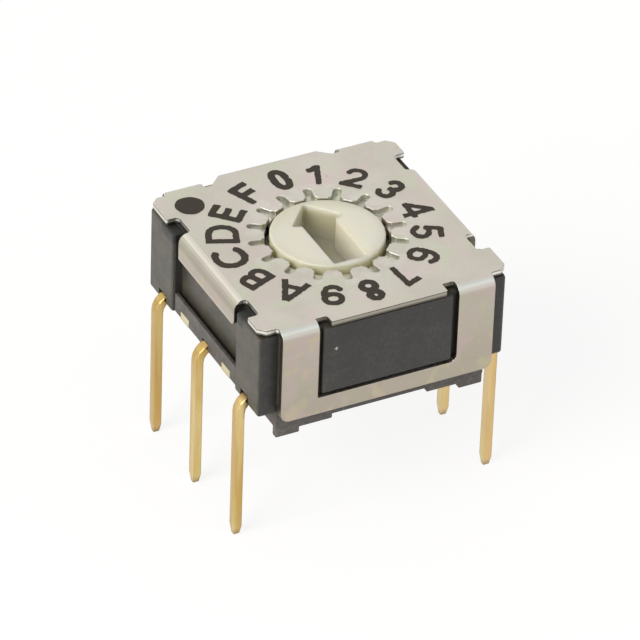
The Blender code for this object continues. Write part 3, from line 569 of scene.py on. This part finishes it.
def rubber():
    n = Surface("ring_rubber")
    dust = n.noise(12.0, 3.0, 0.6)
    n.colour = n.mix(n.rise(dust, 0.5, 0.8), srgb(34, 33, 32), srgb(52, 50, 48))
    return n.finish(n.ramp(dust, 0.3, 0.7, 0.6, 0.75), n.bump(dust, 0.2, 0.01))


def ink():
    n = Surface("printed_ink")
    fine = n.noise(18.0, 3.0, 0.6)
    n.colour = n.mix(n.rise(fine, 0.35, 0.75), srgb(34, 25, 13), srgb(50, 41, 28))
    n.paint(srgb(42, 38, 30), n.rise(n.noise(1.6), 0.4, 0.7, 0.4))
    return n.finish(n.ramp(fine, 0.3, 0.7, 0.45, 0.60), n.bump(fine, 0.2, 0.004),
                    Specular_IOR_Level=0.28)


# The carried-over pieces: their materials and worn edges

def dress(name, material):
    mesh = nodes[name].data
    mesh.materials.clear()
    mesh.materials.append(material)


def round_edges(name, width, segments=2):
    """Rounds the sharp edges of a piece by modifiers."""
    weld = nodes[name].modifiers.new("joined", "WELD")
    weld.merge_threshold = 1e-7
    bevel = nodes[name].modifiers.new("worn_edges", "BEVEL")
    bevel.width = width * MM
    bevel.segments = segments
    bevel.limit_method = "ANGLE"
    bevel.angle_limit = math.radians(32.0)
    bevel.use_clamp_overlap = True
    bevel.harden_normals = True


def dress_pieces():
    plated = gold()
    for name in (*LEADS, "contact_spring"):
        dress(name, plated)
    dress("cover", steel())
    dress("housing", housing_plastic())
    dress("base", base_plastic())
    dress("rotor", cream())
    dress("detent_spring", spring())
    dress("o_ring", rubber())
    for name, width in (("cover", 0.020), ("housing", 0.020), ("base", 0.020), ("rotor", 0.030)):
        round_edges(name, width)
    for name in LEADS:
        round_edges(name, 0.050, 3)


# Legend and index dot, printed on the plate

CAP = 0.92                            # height of a character
STROKE = 0.172                        # width of its strokes
FOOT_R = 2.33                         # radius at the foot of the characters
LEGEND_X, LEGEND_Y = -0.092, 0.028    # middle of the ring of characters
DOT_X, DOT_Y, DOT_R = -2.81, 2.70, 0.406
INK_LOW = PLATE_TOP - 0.002
INK_TOP = PLATE_TOP + 0.010
CELL = 0.012                          # grid on which a character is drawn
WOBBLE, RAGGED = 0.006, 0.002         # slow and fast unevenness of its outline
ARC_STEPS = 28
DOT_STEPS = 72
SPECK_POINTS = 8                      # a closed line with no more points than this is a speck
# How unevenly each character was printed: its shift along x and y, and the weight of its
# strokes and its size against those of an even print
PRINTED = {
    "0": (0.04, 0.01, 1.10, 1.05), "1": (-0.01, 0.06, 0.95, 1.00),
    "2": (0.03, 0.06, 0.95, 1.00), "3": (0.07, -0.01, 1.00, 1.03),
    "4": (0.01, -0.01, 0.90, 1.00), "5": (-0.01, 0.01, 0.95, 1.00),
    "6": (0.01, -0.01, 0.95, 1.00), "7": (0.02, -0.01, 1.00, 1.00),
    "8": (0.00, -0.08, 1.10, 1.05), "9": (-0.02, -0.07, 1.00, 1.00),
    "A": (-0.02, -0.07, 1.00, 1.00), "B": (-0.06, 0.03, 1.05, 1.00),
    "C": (0.00, -0.03, 1.10, 1.05), "D": (0.04, -0.04, 1.05, 1.00),
    "E": (0.02, -0.04, 1.10, 1.02), "F": (0.01, -0.01, 1.10, 1.02),
}


def arc(cx, cy, rx, ry, start, end, power):
    """Points on part of an oval, angles in degrees. Above a power of 2 it gets squarer."""
    points = []
    for i in range(ARC_STEPS + 1):
        a = math.radians(start + (end - start) * i / ARC_STEPS)
        c, s = math.cos(a), math.sin(a)
        points.append((cx + rx * math.copysign(abs(c) ** (2 / power), c),
                       cy + ry * math.copysign(abs(s) ** (2 / power), s)))
    return points


def characters():
    """Middle lines of the strokes of each character: foot at 0, right to +x."""
    h = STROKE / 2
    top, mid = CAP - h, CAP / 2
    six = [arc(0.015, 0.295, 0.228, 0.208, 0, 360, 2.2),
           arc(0.035, 0.46, 0.248, 0.373, 205, 38, 2.2)]
    nine = [[(-x - 0.01, CAP - y) for x, y in stroke] for stroke in six]
    return {
        "0": [arc(0.03, mid, 0.175, mid - h, 0, 360, 2.3)],
        "1": [[(0.062, 0.0), (0.062, CAP)],
              [(-0.25, 0.655), (-0.13, 0.675), (-0.05, 0.735), (0.01, 0.85)]],
        "2": [arc(-0.045, 0.615, 0.225, 0.218, 178, -35, 2.1) + [(-0.27, 0.12)],
              [(-0.38, h), (0.27, h)]],
        "3": [arc(-0.13, 0.655, 0.175, 0.178, 172, -80, 2.1),
              arc(-0.13, 0.277, 0.195, 0.19, 86, -172, 2.1),
              [(-0.20, 0.468), (-0.10, 0.468)]],
        "4": [[(0.11, 0.0), (0.11, CAP)],
              [(0.085, 0.85), (-0.355, 0.285)],
              [(-0.42, 0.275), (0.30, 0.275)]],
        "5": [[(-0.235, top), (0.235, top)],
              [(-0.185, top), (-0.235, 0.42)],
              arc(-0.03, 0.30, 0.232, 0.213, 148, -168, 2.1)],
        "6": six,
        "7": [[(-0.20, top), (0.33, top)],
              [(0.245, 0.86), (-0.02, 0.0)]],
        "8": [arc(0.01, 0.675, 0.150, 0.158, 0, 360, 2.1),
              arc(0.01, 0.262, 0.175, 0.176, 0, 360, 2.1)],
        "9": nine,
        "A": [[(-0.335, 0.0), (-0.02, CAP)],
              [(0.325, 0.0), (0.01, CAP)],
              [(-0.24, 0.275), (0.23, 0.275)]],
        "B": [[(-0.343, 0.0), (-0.343, CAP)],
              [(-0.343, top), (-0.10, top)] + arc(-0.10, 0.652, 0.205, 0.182, 85, -85, 2.2)
              + [(-0.343, 0.47)],
              [(-0.343, h), (-0.08, h)] + arc(-0.08, 0.278, 0.222, 0.192, -85, 85, 2.2)],
        "C": [arc(0.055, mid, 0.37, mid - h, 38, 322, 2.2)],
        "D": [[(-0.263, 0.0), (-0.263, CAP)],
              [(-0.263, top), (0.02, top)] + arc(0.02, mid, 0.383, mid - h, 88, -88, 2.2)
              + [(-0.263, h)]],
        "E": [[(-0.203, 0.0), (-0.203, CAP)],
              [(-0.203, top), (0.27, top)],
              [(-0.203, mid + 0.02), (0.23, mid + 0.02)],
              [(-0.203, h), (0.29, h)]],
        "F": [[(-0.183, 0.0), (-0.183, CAP)],
              [(-0.183, top), (0.34, top)],
              [(-0.183, mid + 0.01), (0.26, mid + 0.01)]],
    }


def distance_field(strokes, xs, ys, half):
    """Distance to the drawn strokes, negative inside: flat ends, round joins."""
    gx, gy = np.meshgrid(xs, ys)
    field = np.full(gx.shape, np.inf)
    for stroke in strokes:
        for (ax, ay), (bx, by) in zip(stroke, stroke[1:]):
            length = math.hypot(bx - ax, by - ay)
            if length < TINY:
                continue
            ux, uy = (bx - ax) / length, (by - ay) / length
            along = (gx - ax) * ux + (gy - ay) * uy
            aside = np.abs((gy - ay) * ux - (gx - ax) * uy) - half
            over = np.maximum(-along, along - length)
            box = np.minimum(np.maximum(aside, over), 0.0)
            box += np.hypot(np.maximum(aside, 0.0), np.maximum(over, 0.0))
            field = np.minimum(field, box)
        for px, py in stroke[1:-1]:
            field = np.minimum(field, np.hypot(gx - px, gy - py) - half)
    return field


def blurred(field, passes):
    """Softens the corners a little, as ink does."""
    for _ in range(passes):
        for axis in (0, 1):
            field = (np.roll(field, 1, axis) + 2 * field + np.roll(field, -1, axis)) / 4
    return field


def unevenness(rng, shape, passes):
    """Blurred random field with a spread of 1."""
    field = blurred(rng.normal(0.0, 1.0, shape), passes)
    return field / field.std()


def contours(field, xs, ys):
    """Closed lines where the field is 0, by marching squares, without the smallest specks."""
    inside = field < 0
    links = {}

    def crossing(i0, j0, i1, j1):
        a, b = field[i0, j0], field[i1, j1]
        t = a / (a - b)
        return (xs[j0] + (xs[j1] - xs[j0]) * t, ys[i0] + (ys[i1] - ys[i0]) * t)

    cells = inside[:-1, :-1].astype(int) + inside[:-1, 1:] + inside[1:, 1:] + inside[1:, :-1]
    for i, j in zip(*np.nonzero((cells > 0) & (cells < 4))):
        corners = [(i, j), (i, j + 1), (i + 1, j + 1), (i + 1, j)]
        sides = [("h", i, j), ("v", i, j + 1), ("h", i + 1, j), ("v", i, j)]
        leaving, entering = [], []
        for k in range(4):
            a, b = corners[k], corners[(k + 1) % 4]
            if inside[a] and not inside[b]:
                leaving.append((sides[k], crossing(*a, *b)))
            elif inside[b] and not inside[a]:
                entering.append(sides[k])
        for (side, point), following in zip(leaving, entering):
            links[side] = (following, point)
    loops = []
    while links:
        side = next(iter(links))
        loop = []
        while side in links:
            side, point = links.pop(side)
            loop.append(point)
        if len(loop) > SPECK_POINTS:
            loops.append(loop)
    return loops


def thinned(loop, tolerance=0.0015, longest=0.06):
    """Leaves out points that lie on the line between their neighbours."""
    result = [loop[0]]
    for (px, py), (qx, qy) in zip(loop[1:], loop[2:]):
        ax, ay = result[-1]
        length = math.hypot(qx - ax, qy - ay)
        off = abs((qx - ax) * (ay - py) - (ax - px) * (qy - ay))
        if length < TINY or off / length > tolerance or length > longest:
            result.append((px, py))
    result.append(loop[-1])
    return result


def printed(name, outlines):
    """Thin layer of ink on the plate, made from closed outlines."""
    curve = bpy.data.curves.new(name, "CURVE")
    curve.dimensions = "2D"
    curve.fill_mode = "BOTH"
    curve.extrude = (INK_TOP - INK_LOW) / 2 * MM
    for outline in outlines:
        line = curve.splines.new("POLY")
        line.points.add(len(outline) - 1)
        for point, (x, y) in zip(line.points, outline):
            point.co = (x * MM, y * MM, 0.0, 1.0)
        line.use_cyclic_u = True
    drawn = bpy.data.objects.new(name + "_drawn", curve)
    scene.collection.objects.link(drawn)
    drawn.location.z = (INK_LOW + INK_TOP) / 2 * MM
    bpy.context.view_layer.update()
    mesh = bpy.data.meshes.new_from_object(
        drawn.evaluated_get(bpy.context.evaluated_depsgraph_get()))
    mesh.transform(drawn.matrix_world)
    bpy.data.objects.remove(drawn, do_unlink=True)
    bm = bmesh.new()
    bm.from_mesh(mesh)
    bmesh.ops.remove_doubles(bm, verts=bm.verts, dist=1e-8)
    bm.to_mesh(mesh)
    bm.free()
    layer = bpy.data.objects.new(name, mesh)
    scene.collection.objects.link(layer)
    return layer


def make_legend(material):
    """Sixteen characters in a ring, with their feet to the knob."""
    xs = np.arange(-0.60, 0.62, CELL)
    ys = np.arange(-0.14, CAP + 0.15, CELL)
    rng = np.random.default_rng(7)
    outlines = []
    for k, (sign, strokes) in enumerate(characters().items()):
        shift_x, shift_y, weight, size = PRINTED[sign]
        field = blurred(distance_field(strokes, xs, ys, STROKE / 2 * weight), 3)
        field = field + unevenness(rng, field.shape, 12) * WOBBLE
        field = field + unevenness(rng, field.shape, 3) * RAGGED
        turn = -2 * math.pi * k / len(PRINTED)
        c, s = math.cos(turn), math.sin(turn)
        for loop in contours(field, xs, ys):
            outline = []
            for x, y in thinned(loop):
                x, r = x * size, CAP / 2 + (y - CAP / 2) * size + FOOT_R
                outline.append((LEGEND_X + shift_x + c * x - s * r,
                                LEGEND_Y + shift_y + s * x + c * r))
            outlines.append(outline)
    legend = printed("legend", outlines)
    legend.data.materials.append(material)
    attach(legend, "body")


def make_index_dot(material):
    """Round dot with a slightly wavy edge."""
    outline = []
    for i in range(DOT_STEPS):
        a = 2 * math.pi * i / DOT_STEPS
        r = DOT_R + 0.006 * math.sin(3 * a + 0.7) + 0.004 * math.sin(7 * a)
        outline.append((DOT_X + r * math.cos(a), DOT_Y + r * math.sin(a)))
    dot = printed("index_dot", [outline])
    dot.data.materials.append(material)
    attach(dot, "body")


# Floor, room and lamps

def make_floor():
    """White floor that takes soft shadows and otherwise looks like the white page."""
    half = 600 * MM
    mesh = bpy.data.meshes.new("floor")
    mesh.from_pydata([(-half, -half, 0), (half, -half, 0), (half, half, 0), (-half, half, 0)],
                     [], [(0, 1, 2, 3)])
    floor = bpy.data.objects.new("floor", mesh)
    scene.collection.objects.link(floor)
    material = bpy.data.materials.new("floor_white")
    n = Tree(material, "OutputMaterial")
    glowing = n.math("MULTIPLY", n.directly_seen(), 0.80)
    diffuse = n.node("BsdfDiffuse", Color=(0.80, 0.80, 0.80, 1.0))
    glow = n.node("Emission", Color=(1.0, 1.0, 1.0, 1.0), Strength=1.05)
    n.blend_shaders(glowing, diffuse.outputs["BSDF"], glow.outputs["Emission"])
    mesh.materials.append(material)


def make_world():
    """White page where it is seen, and the light of a dim warm room elsewhere."""
    world = bpy.data.worlds.new("studio")
    n = Tree(world, "OutputWorld")
    room = n.node("Background", Color=(1.0, 0.99, 0.97, 1.0), Strength=0.50)
    white = n.node("Background", Color=(1.0, 1.0, 1.0, 1.0), Strength=1.0)
    n.blend_shaders(n.directly_seen(), room.outputs["Background"], white.outputs["Background"])
    scene.world = world


def lamp(name, direction, distance, size, power, colour=(1.0, 1.0, 1.0)):
    """Square soft lamp that looks at the part, lengths in metres."""
    data = bpy.data.lights.new(name, "AREA")
    data.shape = "SQUARE"
    data.size = size
    data.energy = power
    data.color = colour
    obj = bpy.data.objects.new(name, data)
    scene.collection.objects.link(obj)
    away = Vector(direction).normalized()
    obj.location = away * distance + Vector((0, 0, LAMP_AIM * MM))
    obj.rotation_euler = away.to_track_quat("Z", "Y").to_euler()


place_camera()
dress_pieces()
printing_ink = ink()
make_legend(printing_ink)
make_index_dot(printing_ink)
make_floor()
make_world()
lamp("left", (-0.78, -0.26, 0.56), 0.38, 0.24, 1.40, (1.0, 0.955, 0.885))
lamp("front_fold", (0.38, -0.58, 0.72), 0.40, 0.40, 0.20)
lamp("rear", (-0.45, 0.72, 0.50), 0.40, 0.34, 0.09)

scene.view_settings.view_transform = "Standard"
